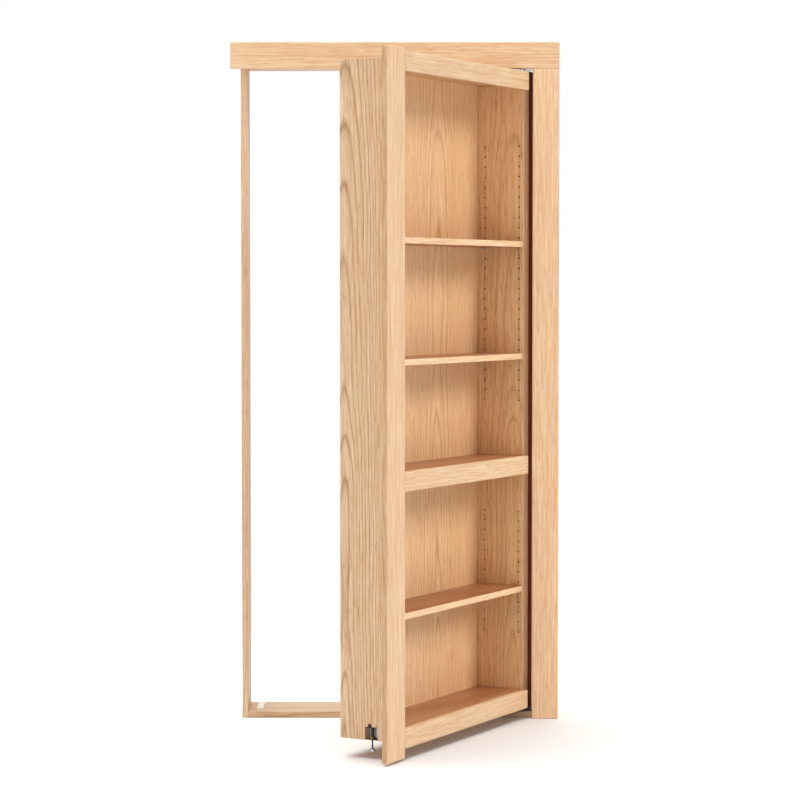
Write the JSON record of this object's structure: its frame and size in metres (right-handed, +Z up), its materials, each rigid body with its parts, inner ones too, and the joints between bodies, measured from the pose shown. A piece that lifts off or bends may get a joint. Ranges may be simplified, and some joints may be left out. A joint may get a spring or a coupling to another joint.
{
  "type": "hidden door bookcase",
  "caption": "Oak bookcase that swings as a door in its own frame on top and bottom pivots, with loose shelves on pins and a foot under its free end.",
  "frame": {"origin": "middle of the underside of the sill, on the floor", "axes": "+Z up, +X from the latch side to the hinge side, +Y from the viewer into the wall; the door is stored open 61 degrees towards -Y"},
  "size_m": [1.0305, 0.9824, 2.1295],
  "materials": {
    "oak_face": "planed oak, clear satin lacquer, front boards",
    "oak_side": "planed oak, clear satin lacquer, sides and frame",
    "oak_inside": "oak veneer, clear satin lacquer, inside of the case",
    "oak_stained": "planed oak, dark brown stain, packer behind the hinge casing",
    "zinc_steel": "zinc plated steel",
    "black_steel": "black oxide steel",
    "brass": "turned brass",
    "white_plastic": "smooth white plastic"
  },
  "bodies": {
    "frame": {"latch_jamb": "oak_side", "hinge_jamb": "oak_side", "head_jamb": "oak_side", "sill": "oak_side", "header_casing": "oak_face", "hinge_casing": "oak_face", "sill_wear_plate": "white_plastic", "sill_pivot_plate": "black_steel", "head_pivot_plate": "zinc_steel", "bottom_pivot_stud": "zinc_steel", "bottom_thrust_washer": "brass", "top_pivot_pin": "zinc_steel"},
    "door": {"latch_side": "oak_side", "hinge_side": "oak_side", "hinge_packer": "oak_stained", "latch_liner": "oak_inside", "hinge_liner": "oak_inside", "case_top": "oak_inside", "case_bottom": "oak_inside", "fixed_shelf": "oak_inside", "back_panel": "oak_inside", "latch_trim": "oak_face", "top_rail": "oak_face", "middle_rail": "oak_face", "bottom_rail": "oak_face", "case_bottom_plate": "black_steel", "case_top_plate": "black_steel", "bottom_bush": "brass", "top_bush": "brass", "foot_bracket": "zinc_steel", "foot_nut": "brass", "foot_sleeve": "black_steel", "shelf_upper_pin_latch_front": "zinc_steel", "shelf_upper_pin_latch_back": "zinc_steel", "shelf_upper_pin_hinge_front": "zinc_steel", "shelf_upper_pin_hinge_back": "zinc_steel", "shelf_second_pin_latch_front": "zinc_steel", "shelf_second_pin_latch_back": "zinc_steel", "shelf_second_pin_hinge_front": "zinc_steel", "shelf_second_pin_hinge_back": "zinc_steel", "shelf_lower_pin_latch_front": "zinc_steel", "shelf_lower_pin_latch_back": "zinc_steel", "shelf_lower_pin_hinge_front": "zinc_steel", "shelf_lower_pin_hinge_back": "zinc_steel"},
    "shelf_upper_body": {"shelf_upper": "oak_inside"},
    "shelf_second_body": {"shelf_second": "oak_inside"},
    "shelf_lower_body": {"shelf_lower": "oak_inside"},
    "foot": {"foot_rod": "black_steel", "foot_pad": "zinc_steel"}
  },
  "joints": [
    {"name": "door_swing", "type": "hinge", "parent": "frame", "child": "door", "pos_m": [0.398, -0.0805, 0], "axis": [0, 0, 1], "range_deg": [-61, 29]},
    {"name": "shelf_upper_lift", "type": "slide", "parent": "door", "child": "shelf_upper_body", "axis": [0, 0, 1], "range_m": [0, 0.028]},
    {"name": "shelf_second_lift", "type": "slide", "parent": "door", "child": "shelf_second_body", "axis": [0, 0, 1], "range_m": [0, 0.028]},
    {"name": "shelf_lower_lift", "type": "slide", "parent": "door", "child": "shelf_lower_body", "axis": [0, 0, 1], "range_m": [0, 0.028]},
    {"name": "foot_adjust", "type": "slide", "parent": "door", "child": "foot", "axis": [0, 0, 1], "range_m": [0, 0.004]}
  ]
}
